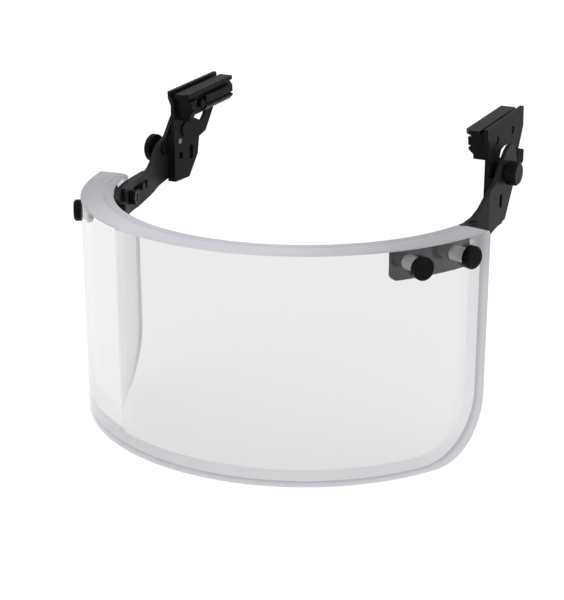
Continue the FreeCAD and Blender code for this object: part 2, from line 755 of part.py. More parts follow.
SPRING_LENGTH = "(lock_bore_depth - button_length - spring_slack)"
spring = new_body("left_lock_spring")
wire = sketch_in(spring, "spring_wire", "XZ_Plane")
draw_circle(wire, "spring_coil_radius", "spring_wire_radius", "spring_wire_radius")
coil = spring.newObject("PartDesign::AdditiveHelix", "spring_coil")
coil.Profile = wire
coil.ReferenceAxis = (wire, ["V_Axis"])
coil.Mode = "pitch-height-angle"
bind(coil, Pitch=f"{SPRING_LENGTH} / spring_turns", Height=f"{SPRING_LENGTH} - 2 * spring_wire_radius")
doc.recompute()
set_in_adapter(spring, "button_y", "button_drop", "adapter_inner_x + button_length", upright_axis=True)
keep_pair("lock_spring", spring)


# ---------------------------------------------------------------- leg and what it carries
def leg():
    """Plate that hangs from the adapter, with flanges at its lower front and bottom edges."""
    body = new_body("left_leg")
    plate = sketch_in(body, "leg_plate", "YZ_Plane", SKIN_INNER)
    draw_outline(plate, [adapter_point("0", "0"), adapter_point("adapter_length", "0"),
                         adapter_point("adapter_length", "adapter_height - 6"),
                         ("78", "28"), ("67.2", "13"), ("58.2", "10.3"), ("55.9", "-2.2"),
                         ("44", "leg_bottom_z"), ("leg_front_y", "leg_bottom_z"),
                         ("leg_front_y", "39"), adapter_point("0", "5")])
    pad(body, plate, "leg_skin")
    lip = sketch_in(body, "leg_lip", "YZ_Plane", SKIN_INNER)
    draw_outline(lip, [("leg_front_y", "leg_bottom_z"), ("44", "leg_bottom_z"),
                       ("46", "leg_bottom_z + flange_wall"),
                       ("leg_front_y + flange_wall", "leg_bottom_z + flange_wall"),
                       ("leg_front_y + flange_wall", "flange_top_z - flange_wall"),
                       ("leg_front_y", "flange_top_z")])
    pad(body, lip, f"{ARM_INNER_X} - moving_gap - {SKIN_INNER}")
    cuts = sketch_in(body, "leg_windows", "YZ_Plane", "leg_outer_x")
    draw_outline(cuts, [("43.8", "27.6"), ("46", "32.2"), ("51.5", "33.6"), ("62", "33.4"), ("68.6", "29"),
                        ("67", "25.2"), ("62.4", "21"), ("52.6", "25.2"), ("46.5", "25.6")])
    half = "leg_hole_size / 2"
    draw_outline(cuts, [(f"leg_hole_y - {half}", f"leg_hole_z - {half}"),
                        (f"leg_hole_y + {half}", f"leg_hole_z - {half}"),
                        (f"leg_hole_y + {half}", f"leg_hole_z + {half}"),
                        (f"leg_hole_y - {half}", f"leg_hole_z + {half}")])
    draw_circle(cuts, "plunger_y", "plunger_z", "plunger_radius")
    draw_circle(cuts, "pivot_y", "pivot_z", "stud_radius")
    for index in range(2):
        draw_circle(cuts, *leg_screw_place(index), "leg_screw_radius")
    pocket(body, cuts, "2 * leg_skin")
    slot = sketch_in(body, "leg_slot", "YZ_Plane", SKIN_INNER)
    draw_slot(slot, "leg_slot_y", "leg_slot_z", "leg_slot_length", "leg_slot_width")
    pocket(body, slot, "leg_slot_depth", backwards=True)
    sinks = sketch_in(body, "leg_screw_sinks", "YZ_Plane", "leg_outer_x")
    for index in range(2):
        draw_circle(sinks, *leg_screw_place(index), "leg_screw_head")
    pocket(body, sinks, "leg_screw_sink")
    place_in_arc_frame(body)
    return body


def leg_screw_place(index):
    return adapter_point(leg_screw_run(index), "leg_screw_drop")


keep_pair("leg", leg())

leg_screws = []
for i in range(2):
    seat = "(leg_outer_x - leg_screw_sink)"
    screw = turned(f"leg_screw{i}", [(f"{SKIN_INNER} - leg_screw_reach", "leg_screw_radius"),
                                     (seat, "leg_screw_radius"),
                                     (seat, "leg_screw_head - stud_gap"),
                                     (f"{seat} + leg_screw_edge", "leg_screw_head - stud_gap"),
                                     (f"{seat} + leg_screw_crown", "leg_screw_head / 1.25")])
    set_across(screw, *leg_screw_place(i))
    leg_screws.append(screw)
keep_pair("leg_screws", grouped("left_leg_screws", leg_screws))

stud = turned("left_pivot_stud", [(f"{SKIN_INNER} - stud_head_height", "spacer_radius"),
                                  (SKIN_INNER, "spacer_radius"),
                                  (SKIN_INNER, "stud_radius"), ("arm_outer_x + stud_reach", "stud_radius")])
set_across(stud, "pivot_y", "pivot_z")
keep_pair("pivot_stud", stud)

spacer = turned("left_pivot_spacer", [("leg_outer_x", "spacer_radius"),
                                      (f"{ARM_INNER_X} - moving_gap / 2", "spacer_radius")], "stud_radius")
set_across(spacer, "pivot_y", "pivot_z")
keep_pair("pivot_spacer", spacer)

plunger = turned("left_detent_plunger", [(f"{SKIN_INNER} - moving_gap", "plunger_radius"),
                                         (f"{ARM_INNER_X} - plunger_tip_length", "plunger_radius"),
                                         (f"{ARM_INNER_X} - moving_gap", "plunger_tip_radius")])
set_across(plunger, "plunger_y", "plunger_z")
keep_pair("detent_plunger", plunger)


def fluted_knob(label, stations, radius, thickness, start, bore, bore_end):
    """Turned knob with a ring of grip flutes."""
    body = turned(label, stations, bore, bore_end)
    flute = sketch_in(body, f"{label}_flute", "YZ_Plane", start)
    draw_circle(flute, radius, "0", "flute_radius")
    first = pocket(body, flute, thickness, backwards=True)
    pattern = body.newObject("PartDesign::PolarPattern", f"{label}_flutes")
    pattern.Originals = [first]
    pattern.Axis = (origin_part(body, "X_Axis"), "")
    pattern.Angle = 360
    bind(pattern, Occurrences="flute_count")
    body.Tip = pattern
    doc.recompute()
    return body


knob_start = "(arm_outer_x + moving_gap)"
knob_end = f"({knob_start} + knob_thickness)"
stud_end = "(arm_outer_x + stud_reach)"
knob = fluted_knob("left_pivot_knob",
                   [(knob_start, "knob_radius - 2"), (f"{knob_start} + 1", "knob_radius - 2"),
                    (f"{knob_start} + 1", "knob_radius")]
                   + head_stations(f"{knob_start} + 1", knob_end, "knob_radius")[1:],
                   "knob_radius", "knob_thickness - 1", f"{knob_start} + 1",
                   "stud_radius + stud_gap", f"{stud_end} + 0.2")
set_across(knob, "pivot_y", "pivot_z")
keep(knob)

cap = turned("pivot_cap", [(knob_start, "cap_radius")]
             + head_stations(knob_start, f"({knob_start} + cap_thickness)", "cap_radius")[1:],
             "stud_radius", f"{stud_end} + 0.1")
set_across(cap, "pivot_y", "pivot_z")
keep(mirror_image("right_pivot_cap", cap))

# The lock knob's screw goes through the right arm and clamps it to the leg.
collar_start = "(arm_outer_x + moving_gap / 2)"
lock_start = f"({collar_start} + lock_collar)"
lock_end = f"({lock_start} + lock_knob_thickness)"
lock = fluted_knob("lock_knob",
                   [(f"{ARM_INNER_X} - lock_nut_height - lock_tip", "lock_screw_radius"),
                    (collar_start, "lock_screw_radius"),
                    (collar_start, "lock_collar_radius"), (lock_start, "lock_collar_radius"),
                    (lock_start, "lock_knob_radius")]
                   + head_stations(lock_start, lock_end, "lock_knob_radius")[1:],
                   "lock_knob_radius", "lock_knob_thickness", lock_start, "0", None)
set_across(lock, "lock_y", "lock_z")
keep(mirror_image("right_lock_knob", lock))

lock_nut = new_body("lock_nut")
nut_flats = sketch_in(lock_nut, "lock_nut_outline", "YZ_Plane", f"{ARM_INNER_X} - lock_nut_height")
draw_outline(nut_flats, [(f"lock_nut_radius * cos({60 * k}deg)", f"lock_nut_radius * sin({60 * k}deg)")
                         for k in range(6)])
draw_circle(nut_flats, "0", "0", "lock_screw_radius + stud_gap")
pad(lock_nut, nut_flats, "lock_nut_height")
set_across(lock_nut, "lock_y", "lock_z")
keep(mirror_image("right_lock_nut", lock_nut))

bumper = new_body("left_leg_bumper")
block = sketch_in(bumper, "bumper_outline", "YZ_Plane", "leg_outer_x")
half = "bumper_size / 2"
run = "bumper_length / 2"
draw_outline(block, [(f"bumper_y - {run}", f"bumper_z - {half}"),
                     (f"bumper_y + {run}", f"bumper_z - {half}"),
                     (f"bumper_y + {run}", f"bumper_z + {half}"),
                     (f"bumper_y - {run}", f"bumper_z + {half}")])
pad(bumper, block, f"{ARM_INNER_X} - moving_gap - leg_outer_x")
round_edges(bumper, "Fillet", lambda edge: along(edge, AXIS_X), "bumper_size / 4")
place_in_arc_frame(bumper)
keep(bumper)

# ---------------------------------------------------------------- check and write
doc.recompute()
for thing in doc.Objects:
    if "Invalid" in thing.State or "Error" in thing.State:
        raise ValueError(f"{thing.Label} failed: {thing.State}")
for thing in NODES:
    shape = thing.Shape
    if shape.isNull() or not shape.isValid() or not shape.Solids:
        raise ValueError(f"{thing.Label} has no valid solid")
for thing in NODES:
    thing.Shape.exportStep(f"parts/{thing.Label}.step")
    box = thing.Shape.BoundBox
    print(f"{thing.Label:22s} solids {len(thing.Shape.Solids)} volume {thing.Shape.Volume:10.1f}"
          f" x {box.XMin:7.1f}..{box.XMax:7.1f} y {box.YMin:7.1f}..{box.YMax:7.1f}"
          f" z {box.ZMin:7.1f}..{box.ZMax:7.1f}")
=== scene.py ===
# %% [markdown]
# # A clear laminated face shield, built around its engineering model
#
# The engineering model already holds every solid in its right place and size. This script gives it
# its looks: a laminate that bends light, softened metal edges, finishes with grain and wear, a
# floor, studio light and a camera. Everything is in metres, with the shield facing -Y.

# %% Load the engineering model
import math

import bmesh
import bpy
import numpy as np
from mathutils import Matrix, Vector


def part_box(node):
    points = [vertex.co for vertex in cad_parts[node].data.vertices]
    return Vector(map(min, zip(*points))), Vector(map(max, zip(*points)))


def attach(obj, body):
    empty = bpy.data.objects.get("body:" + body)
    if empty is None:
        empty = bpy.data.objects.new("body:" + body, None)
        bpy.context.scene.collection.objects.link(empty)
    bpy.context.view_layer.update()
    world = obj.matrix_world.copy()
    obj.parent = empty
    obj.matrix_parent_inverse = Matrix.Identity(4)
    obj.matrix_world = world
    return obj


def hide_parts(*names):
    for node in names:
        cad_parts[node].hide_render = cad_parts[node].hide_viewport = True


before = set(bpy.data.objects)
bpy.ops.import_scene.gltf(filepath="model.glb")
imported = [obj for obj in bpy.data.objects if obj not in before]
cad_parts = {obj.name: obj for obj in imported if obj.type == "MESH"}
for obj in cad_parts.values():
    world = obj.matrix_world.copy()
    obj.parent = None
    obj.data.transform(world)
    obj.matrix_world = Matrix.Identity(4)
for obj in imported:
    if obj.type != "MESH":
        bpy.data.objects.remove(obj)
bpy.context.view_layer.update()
MM = 0.001
print("pieces in the engineering model:", len(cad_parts))

# %% [markdown]
# ## Reading the visor's sizes off the model
#
# The visor is a part of a ring about an upright axis. Its ends are at a known angle from the front, and
# its radius follows from its box: the widest corners are the two ends of the arc, and the front is one
# radius before the axis. The radii of its plies are distances of their vertices from the axis.

# %% Visor sizes
outer_low, outer_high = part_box("visor_outer_ply")
WRAP = math.radians(80)
OUTER_RADIUS = outer_high.x / math.sin(WRAP)
AXIS_Y = outer_low.y + OUTER_RADIUS
HEIGHT = outer_high.z - outer_low.z
FLOOR_Z = outer_low.z


def ply_radii(node):
    """Least and greatest distance of a ply's vertices from the visor's axis."""
    spots = np.array([v.co[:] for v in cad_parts[node].data.vertices])
    far = np.hypot(spots[:, 0], spots[:, 1] - AXIS_Y)
    return far.min(), far.max()


LAMINATE_LINE = ply_radii("visor_interlayer")
INNER_RADIUS = ply_radii("visor_inner_ply")[0]
print("radii in mm:", OUTER_RADIUS / MM, LAMINATE_LINE, INNER_RADIUS / MM, "axis", AXIS_Y / MM)

# %% [markdown]
# ## Mesh helpers
#
# A surface on a grid is a whole array of points and four-sided faces between neighbours. These
# helpers number such faces, put arrays into a mesh, and hand the piece to the body that moves it.


# %% Grid faces and new pieces
def grid_faces(rows, columns):
    """Faces between neighbours on a rows x columns grid."""
    i, j = np.meshgrid(np.arange(rows - 1), np.arange(columns - 1), indexing="ij")
    corner = i * columns + j
    above = corner + columns
    return np.stack([corner, corner + 1, above + 1, above], -1).reshape(-1, 4)


def new_piece(name, points, faces, body, replaced):
    """Put arrays into a mesh that rides on a body and stands for some engineering nodes."""
    mesh = bpy.data.meshes.new(name)
    mesh.from_pydata(points.tolist(), [], faces.tolist())
    mesh.update()
    piece = bpy.data.objects.new(name, mesh)
    bpy.context.scene.collection.objects.link(piece)
    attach(piece, body)
    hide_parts(*replaced)
    return piece


# %% [markdown]
# ## The laminate
#
# On the real shield three sheets are bonded into one slab, so light is bent only where it enters
# and leaves. Three separate shells would bend it at every bond. One closed skin around the whole
# slab is therefore the right model, and the bonds are drawn on its ground edge.
#
# The skin is a function of an angle and a level. Near each end the corners are rounded, so the
# lowest and highest level depend on how far a point is from the plane of the end.

# %% Laminate numbers
BOTTOM_CORNER = 43 * MM
TOP_CORNER = 5 * MM
EDGE_BEVEL = 0.7 * MM
INNER_BEVEL = 5.9 * MM
SKIN_GAP = 0.06 * MM
LEAST_CORNER = 0.8 * MM
COLUMNS = 241
ROWS = 61
END_CROWDING = 1.9
SHARP_ANGLE = math.radians(25)
OUTER_FACE, INNER_FACE, GROUND_RIM, GROUND_TOP, GROUND_BEVEL = range(5)


def corner_lift(distance, radius):
    """Rise of a quarter circle of a radius at a distance from its end: r - sqrt(r^2 - (r - d)^2)."""
    short = np.clip(radius - distance, 0, radius)
    return radius - np.sqrt(np.maximum(radius ** 2 - short ** 2, 0))


def skin_grid(radius, inset, top_inset=None):
    """Points on one face of the slab: x = r sin(a), y = axis - r cos(a), z between two curved edges.

    The ends and the bottom are drawn in by inset, and the top by top_inset. Columns crowd towards the
    ends, where the corners are round.
    """
    top_inset = inset if top_inset is None else top_inset
    wrap = WRAP - inset / radius
    half = np.linspace(-1, 1, COLUMNS)
    angle = wrap * np.sign(half) * (1 - (1 - np.abs(half)) ** END_CROWDING)
    from_end = radius * np.sin(wrap - np.abs(angle))
    low = inset + corner_lift(from_end, BOTTOM_CORNER - inset)
    high = HEIGHT - top_inset - corner_lift(from_end, max(TOP_CORNER - inset, LEAST_CORNER))
    level = np.linspace(0, 1, ROWS)[:, None]
    z = FLOOR_Z + low * (1 - level) + high * level
    x = np.broadcast_to(radius * np.sin(angle), z.shape)
    y = np.broadcast_to(AXIS_Y - radius * np.cos(angle), z.shape)
    return np.stack([x, y, z], -1)


def border(count_rows, count_columns):
    """Indices round the edge of a grid, once, in order."""
    index = np.arange(count_rows * count_columns).reshape(count_rows, count_columns)
    return np.concatenate([index[0, :-1], index[:-1, -1], index[-1, :0:-1], index[:0:-1, 0]])


# %% Laminate
def laminate(name):
    """Outer face, ground rim with the bonds as edge loops, inner bevel and inner face, as one skin."""
    outside = OUTER_RADIUS - SKIN_GAP
    inside = INNER_RADIUS + SKIN_GAP
    outer = skin_grid(outside, EDGE_BEVEL).reshape(-1, 3)
    inner = skin_grid(inside, INNER_BEVEL, EDGE_BEVEL).reshape(-1, 3)
    rim = border(ROWS, COLUMNS)
    depths = np.array([outside - EDGE_BEVEL, LAMINATE_LINE[1], LAMINATE_LINE[0]])
    loops = [skin_grid(depth, 0).reshape(-1, 3)[rim] for depth in depths]
    loops.append(skin_grid(inside + EDGE_BEVEL, INNER_BEVEL - EDGE_BEVEL, 0).reshape(-1, 3)[rim])
    points = np.concatenate([outer, inner] + loops)
    count = len(outer)
    middle_ids = [2 * count + k * len(rim) + np.arange(len(rim)) for k in range(len(loops))]
    loop_ids = [rim] + middle_ids + [rim + count]
    bands = [np.stack([a, b, np.roll(b, -1), np.roll(a, -1)], -1)
             for a, b in zip(loop_ids, loop_ids[1:])]
    skin = grid_faces(ROWS, COLUMNS)
    faces = np.concatenate([skin, skin[:, ::-1] + count] + bands)
    piece = new_piece(name, points, faces, "visor",
                      ["visor_outer_ply", "visor_interlayer", "visor_inner_ply"])
    on_top = points[rim, 2] > FLOOR_Z + HEIGHT - 1.5 * EDGE_BEVEL
    rim_finish = np.where(on_top, GROUND_TOP, GROUND_RIM)
    bevel_finish = np.where(on_top, GROUND_TOP, GROUND_BEVEL)
    finish = np.concatenate([np.full(len(skin), OUTER_FACE), np.full(len(skin), INNER_FACE)]
                            + [rim_finish] * (len(bands) - 2) + [bevel_finish] * 2).astype(np.int32)
    piece.data.polygons.foreach_set("material_index", finish)
    piece.data.polygons.foreach_set("use_smooth", np.ones(len(faces), bool))
    piece.data.set_sharp_from_angle(angle=SHARP_ANGLE)
    return piece


visor = laminate("visor_laminate")
solid = bmesh.new()
solid.from_mesh(visor.data)
volume = round(solid.calc_volume(signed=True) * 1000, 4)
print("laminate volume in litres:", volume, "(must be positive)")
solid.free()

# %% [markdown]
# ## The laminate's finishes
#
# The two faces are polished, so they are plain clear plastic with the refractive index of acrylic.
# Their pale tint stands for the light that the bonded sheets take away. The top, the ends and the
# bottom are sawn and ground, so they scatter light and look like frosted glass, darker along the bond.
# The ends, the bottom and the bevel are seen through the faces, and they get much paler tones than the
# top. This is painted light for what they lose on the way through the laminate.
# Light that is trapped in the laminate leaves by its ground ends and bevel, and a faint glow stands
# for it. Fine lines left by the grinding run along the rim.


# %% Node helpers
def new_material(name):
    """Material with its tree and its Principled shader."""
    material = bpy.data.materials.new(name)
    material.use_nodes = True
    tree = material.node_tree
    return material, tree, tree.nodes["Principled BSDF"]


def add(tree, kind, **settings):
    """New node of a kind, with its own properties set."""
    node = tree.nodes.new(kind)
    for key, value in settings.items():
        setattr(node, key, value)
    return node


def feed(tree, socket, value):
    """Put a number into a socket, or link another socket to it."""
    if isinstance(value, bpy.types.NodeSocket):
        tree.links.new(value, socket)
    else:
        socket.default_value = value


def maths(tree, operation, *values):
    """Result of a sum on numbers or sockets."""
    node = add(tree, "ShaderNodeMath", operation=operation)
    for socket, value in zip(node.inputs, values):
        feed(tree, socket, value)
    return node.outputs[0]


def mixed(tree, factor, first, second):
    """Colour between two colours."""
    node = add(tree, "ShaderNodeMix", data_type="RGBA")
    sockets = {socket.identifier: socket for socket in node.inputs}
    feed(tree, sockets["Factor_Float"], factor)
    feed(tree, sockets["A_Color"], first)
    feed(tree, sockets["B_Color"], second)
    return next(socket for socket in node.outputs if socket.identifier == "Result_Color")


def remap(tree, value, low, high, new_low, new_high):
    """Value carried from one range to another and held inside it."""
    node = add(tree, "ShaderNodeMapRange")
    for socket, number in zip(node.inputs, (value, low, high, new_low, new_high)):
        feed(tree, socket, number)
    return node.outputs[0]


# %% Visor coordinates group
GRIND_ACROSS, GRIND_ROUND, GRIND_UP = 2600.0, 5.0, 12.0


def visor_place_group():
    """Distance from the visor's axis and its middle plane, and noise drawn out round the arc."""
    group = bpy.data.node_groups.new("visor_place", "ShaderNodeTree")
    group.interface.new_socket("Radius", in_out="OUTPUT", socket_type="NodeSocketFloat")
    group.interface.new_socket("Grind Lines", in_out="OUTPUT", socket_type="NodeSocketFloat")
    group.interface.new_socket("Side", in_out="OUTPUT", socket_type="NodeSocketFloat")
    outside = add(group, "NodeGroupOutput")
    place = add(group, "ShaderNodeTexCoord")
    parts = add(group, "ShaderNodeSeparateXYZ")
    group.links.new(place.outputs["Object"], parts.inputs[0])
    back = maths(group, "SUBTRACT", parts.outputs["Y"], AXIS_Y)
    squares = maths(group, "ADD", maths(group, "MULTIPLY", parts.outputs["X"], parts.outputs["X"]),
                    maths(group, "MULTIPLY", back, back))
    radius = maths(group, "SQRT", squares)
    lines = add(group, "ShaderNodeCombineXYZ")
    group.links.new(maths(group, "MULTIPLY", radius, GRIND_ACROSS), lines.inputs["X"])
    angle = maths(group, "ARCTAN2", parts.outputs["X"], back)
    group.links.new(maths(group, "MULTIPLY", angle, GRIND_ROUND), lines.inputs["Y"])
    group.links.new(maths(group, "MULTIPLY", parts.outputs["Z"], GRIND_UP), lines.inputs["Z"])
    noise = add(group, "ShaderNodeTexNoise")
    noise.inputs["Scale"].default_value = 1.0
    noise.inputs["Detail"].default_value = 3.0
    group.links.new(lines.outputs[0], noise.inputs["Vector"])
    group.links.new(radius, outside.inputs["Radius"])
    group.links.new(maths(group, "ABSOLUTE", parts.outputs["X"]), outside.inputs["Side"])
    group.links.new(noise.outputs[0], outside.inputs["Grind Lines"])
    return group


VISOR_PLACE = visor_place_group()

# %% Clear faces and ground edges
# Each set of tones is outer ply, inner ply, bond.
ACRYLIC_INDEX = 1.49
OUTER_TINT = (0.80, 0.80, 0.806, 1)
INNER_TINT = (0.70, 0.70, 0.706, 1)
# The rim and bevel tones are far paler than the top's. This is painted light that makes up for the
# light these edges lose when seen through the faces.
SIDE_TONES_PAINTED_LIGHTER = (0.88, 0.88, 0.93, 1), (0.80, 0.80, 0.86, 1), (0.52, 0.52, 0.59, 1)
TOP_TONES = (0.52, 0.52, 0.57, 1), (0.45, 0.455, 0.515, 1), (0.36, 0.365, 0.42, 1)
BEVEL_TONES_PAINTED_LIGHTER = (0.84, 0.84, 0.86, 1), (0.84, 0.84, 0.86, 1), (0.75, 0.75, 0.80, 1)
FROSTING = 0.55
BOND_SOFTNESS = 0.25 * MM
SIDE_SPREAD = 8 * MM
ENDS_START, ENDS_FULL = 50 * MM, 125 * MM
STREAKS = 0.16
GRIND_DEPTH = 0.04 * MM
TINT_UNEVENNESS = 0.02


def clear_face(name, tint):
    """Polished plastic; faint unevenness of the tint follows the drawn sheet."""
    material, tree, shader = new_material(name)
    place = add(tree, "ShaderNodeGroup", node_tree=VISOR_PLACE)
    uneven = remap(tree, place.outputs["Grind Lines"], 0.0, 1.0, 0.0, TINT_UNEVENNESS)
    feed(tree, shader.inputs["Base Color"], mixed(tree, uneven, tint, (1, 1, 1, 1)))
    shader.inputs["Roughness"].default_value = 0.0
    shader.inputs["IOR"].default_value = ACRYLIC_INDEX
    shader.inputs["Transmission Weight"].default_value = 1.0
    return material


def ground(name, outer, inner, bond, spread, ends, through, glow):
    """Frosted plastic: a tone for each ply and a dark bond between them, with fine grinding lines.

    The outer tone fades in over spread past the bond. Ends is how much darker the two ends of the arc
    are, through is the share of clear light, and glow is the strength of the trapped light.
    """
    material, tree, shader = new_material(name)
    place = add(tree, "ShaderNodeGroup", node_tree=VISOR_PLACE)
    radius, lines = place.outputs["Radius"], place.outputs["Grind Lines"]
    past_bond = remap(tree, radius, LAMINATE_LINE[1], LAMINATE_LINE[1] + spread, 0.0, 1.0)
    at_bond = remap(tree, radius, LAMINATE_LINE[0] - BOND_SOFTNESS, LAMINATE_LINE[0], 0.0, 1.0)
    tone = mixed(tree, past_bond, mixed(tree, at_bond, inner, bond), outer)
    darker = remap(tree, place.outputs["Side"], ENDS_START, ENDS_FULL, 0.0, ends)
    tone = mixed(tree, darker, tone, (0, 0, 0, 1))
    streak = remap(tree, lines, 0.3, 0.7, 0.0, STREAKS)
    feed(tree, shader.inputs["Base Color"], mixed(tree, streak, tone, (1, 1, 1, 1)))
    shader.inputs["Roughness"].default_value = FROSTING
    shader.inputs["IOR"].default_value = ACRYLIC_INDEX
    shader.inputs["Transmission Weight"].default_value = through
    feed(tree, shader.inputs["Emission Color"], tone)
    shader.inputs["Emission Strength"].default_value = glow
    bump = add(tree, "ShaderNodeBump")
    bump.inputs["Strength"].default_value = 0.25
    bump.inputs["Distance"].default_value = GRIND_DEPTH
    feed(tree, bump.inputs["Height"], lines)
    feed(tree, shader.inputs["Normal"], bump.outputs[0])
    return material


for finish in (
    clear_face("polished_outer", OUTER_TINT),
    clear_face("polished_inner", INNER_TINT),
    ground("ground_rim", *SIDE_TONES_PAINTED_LIGHTER, SIDE_SPREAD, ends=0.0, through=0.25, glow=0.20),
    ground("ground_top", *TOP_TONES, BOND_SOFTNESS, ends=0.42, through=0.15, glow=0.0),
    ground("ground_bevel", *BEVEL_TONES_PAINTED_LIGHTER, BOND_SOFTNESS, ends=0.0, through=0.5, glow=0.14),
):
    visor.data.materials.append(finish)
print("laminate finishes:", [m.name for m in visor.data.materials])

# %% [markdown]
# ## Shared surface effects
#
# Black metal looks flat when it has one colour. A node group gives each finish a mask of worn
# edges and another gives it a fine grain, and each material sets their size and strength.


# %% Worn edge group
BEVEL_SAMPLES = 6
WEAR_GAIN = 5.0


def worn_edge_group():
    """Mask that is 1 where the bevelled normal leaves the true one, broken up by noise."""
    group = bpy.data.node_groups.new("worn_edge", "ShaderNodeTree")
    group.interface.new_socket("Edge Width", in_out="INPUT", socket_type="NodeSocketFloat")
    group.interface.new_socket("Patch Scale", in_out="INPUT", socket_type="NodeSocketFloat")
    group.interface.new_socket("Mask", in_out="OUTPUT", socket_type="NodeSocketFloat")
    inside, outside = add(group, "NodeGroupInput"), add(group, "NodeGroupOutput")
    bevel = add(group, "ShaderNodeBevel", samples=BEVEL_SAMPLES)
    group.links.new(inside.outputs["Edge Width"], bevel.inputs["Radius"])
    true = add(group, "ShaderNodeNewGeometry")
    dot = add(group, "ShaderNodeVectorMath", operation="DOT_PRODUCT")
    group.links.new(bevel.outputs[0], dot.inputs[0])
    group.links.new(true.outputs["True Normal"], dot.inputs[1])
    bend = maths(group, "SUBTRACT", 1.0, dot.outputs["Value"])
    place = add(group, "ShaderNodeTexCoord")
    noise = add(group, "ShaderNodeTexNoise")
    noise.inputs["Detail"].default_value = 4.0
    group.links.new(place.outputs["Object"], noise.inputs["Vector"])
    group.links.new(inside.outputs["Patch Scale"], noise.inputs["Scale"])
    patch = remap(group, noise.outputs[0], 0.40, 0.62, 0.25, 1.0)
    edge = maths(group, "MINIMUM", maths(group, "MULTIPLY", bend, WEAR_GAIN), 1.0)
    group.links.new(maths(group, "MULTIPLY", edge, patch), outside.inputs["Mask"])
    return group


# %% Fine grain group
def fine_grain_group():
    """Noise stretched along one axis, as a value from 0 to 1."""
    group = bpy.data.node_groups.new("fine_grain", "ShaderNodeTree")
    group.interface.new_socket("Scale", in_out="INPUT", socket_type="NodeSocketFloat")
    group.interface.new_socket("Stretch", in_out="INPUT", socket_type="NodeSocketVector")
    group.interface.new_socket("Value", in_out="OUTPUT", socket_type="NodeSocketFloat")
    inside, outside = add(group, "NodeGroupInput"), add(group, "NodeGroupOutput")
    place = add(group, "ShaderNodeTexCoord")
    stretched = add(group, "ShaderNodeVectorMath", operation="MULTIPLY")
    group.links.new(place.outputs["Object"], stretched.inputs[0])
    group.links.new(inside.outputs["Stretch"], stretched.inputs[1])
    noise = add(group, "ShaderNodeTexNoise")
    noise.inputs["Detail"].default_value = 5.0
    noise.inputs["Roughness"].default_value = 0.6
    group.links.new(stretched.outputs[0], noise.inputs["Vector"])
    group.links.new(inside.outputs["Scale"], noise.inputs["Scale"])
    group.links.new(noise.outputs[0], outside.inputs["Value"])
    return group


WORN_EDGE = worn_edge_group()
FINE_GRAIN = fine_grain_group()
print("shared effects:", WORN_EDGE.name, FINE_GRAIN.name)

# %% [markdown]
# ## Metal finishes
#
# The arms are powder coated: an even satin black with a fine pebble. Plates, bars and knobs are
# black anodised, and the bars and knobs have fine streaks the way they were drawn or turned. Screws,
# nuts and pivot studs are black oxide, the springs and plungers are bare metal, the sleeves are
# pale, and the spacers and bumpers are black nylon. One function makes them all, because they
# differ only in colour, roughness, grain and wear.


# %% One function for every metal finish
DUST = (0.35, 0.34, 0.32, 1)
MOST_DUST = 0.01
ROUGHNESS_SPREAD = 0.1
WEAR_SCALE = 220.0
DUST_SCALE = 55.0
GRAIN_DEPTH = 0.05 * MM


def metal_finish(name, colour, worn_colour, roughness, metallic, grain_scale, stretch=(1, 1, 1),
                 bump=0.15, edge_width=0.35 * MM, wear=0.5, sheen_level=0.05):
    """Metal with worn edges, a grain stretched along one axis, soft corners and a trace of dust."""
    material, tree, shader = new_material(name)
    worn = add(tree, "ShaderNodeGroup", node_tree=WORN_EDGE)
    worn.inputs["Edge Width"].default_value = edge_width
    worn.inputs["Patch Scale"].default_value = WEAR_SCALE
    grain = add(tree, "ShaderNodeGroup", node_tree=FINE_GRAIN)
    grain.inputs["Scale"].default_value = grain_scale
    grain.inputs["Stretch"].default_value = stretch
    cloud = add(tree, "ShaderNodeGroup", node_tree=FINE_GRAIN)
    cloud.inputs["Scale"].default_value = DUST_SCALE
    cloud.inputs["Stretch"].default_value = (1, 1, 1)
    dusty = remap(tree, cloud.outputs["Value"], 0.35, 0.7, 0.0, MOST_DUST)
    coat = mixed(tree, dusty, (*colour, 1), DUST)
    edges = maths(tree, "MULTIPLY", worn.outputs["Mask"], wear)
    feed(tree, shader.inputs["Base Color"], mixed(tree, edges, coat, (*worn_colour, 1)))
    smoothest, roughest = roughness - ROUGHNESS_SPREAD, roughness + ROUGHNESS_SPREAD
    feed(tree, shader.inputs["Roughness"],
         remap(tree, grain.outputs["Value"], 0.0, 1.0, smoothest, roughest))
    shader.inputs["Metallic"].default_value = metallic
    shader.inputs["Specular IOR Level"].default_value = sheen_level
    soft = add(tree, "ShaderNodeBevel", samples=BEVEL_SAMPLES)
    soft.inputs["Radius"].default_value = edge_width
    pebble = add(tree, "ShaderNodeBump")
    pebble.inputs["Strength"].default_value = bump
    pebble.inputs["Distance"].default_value = GRAIN_DEPTH
    feed(tree, pebble.inputs["Height"], grain.outputs["Value"])
    feed(tree, pebble.inputs["Normal"], soft.outputs[0])
    feed(tree, shader.inputs["Normal"], pebble.outputs[0])
    return material


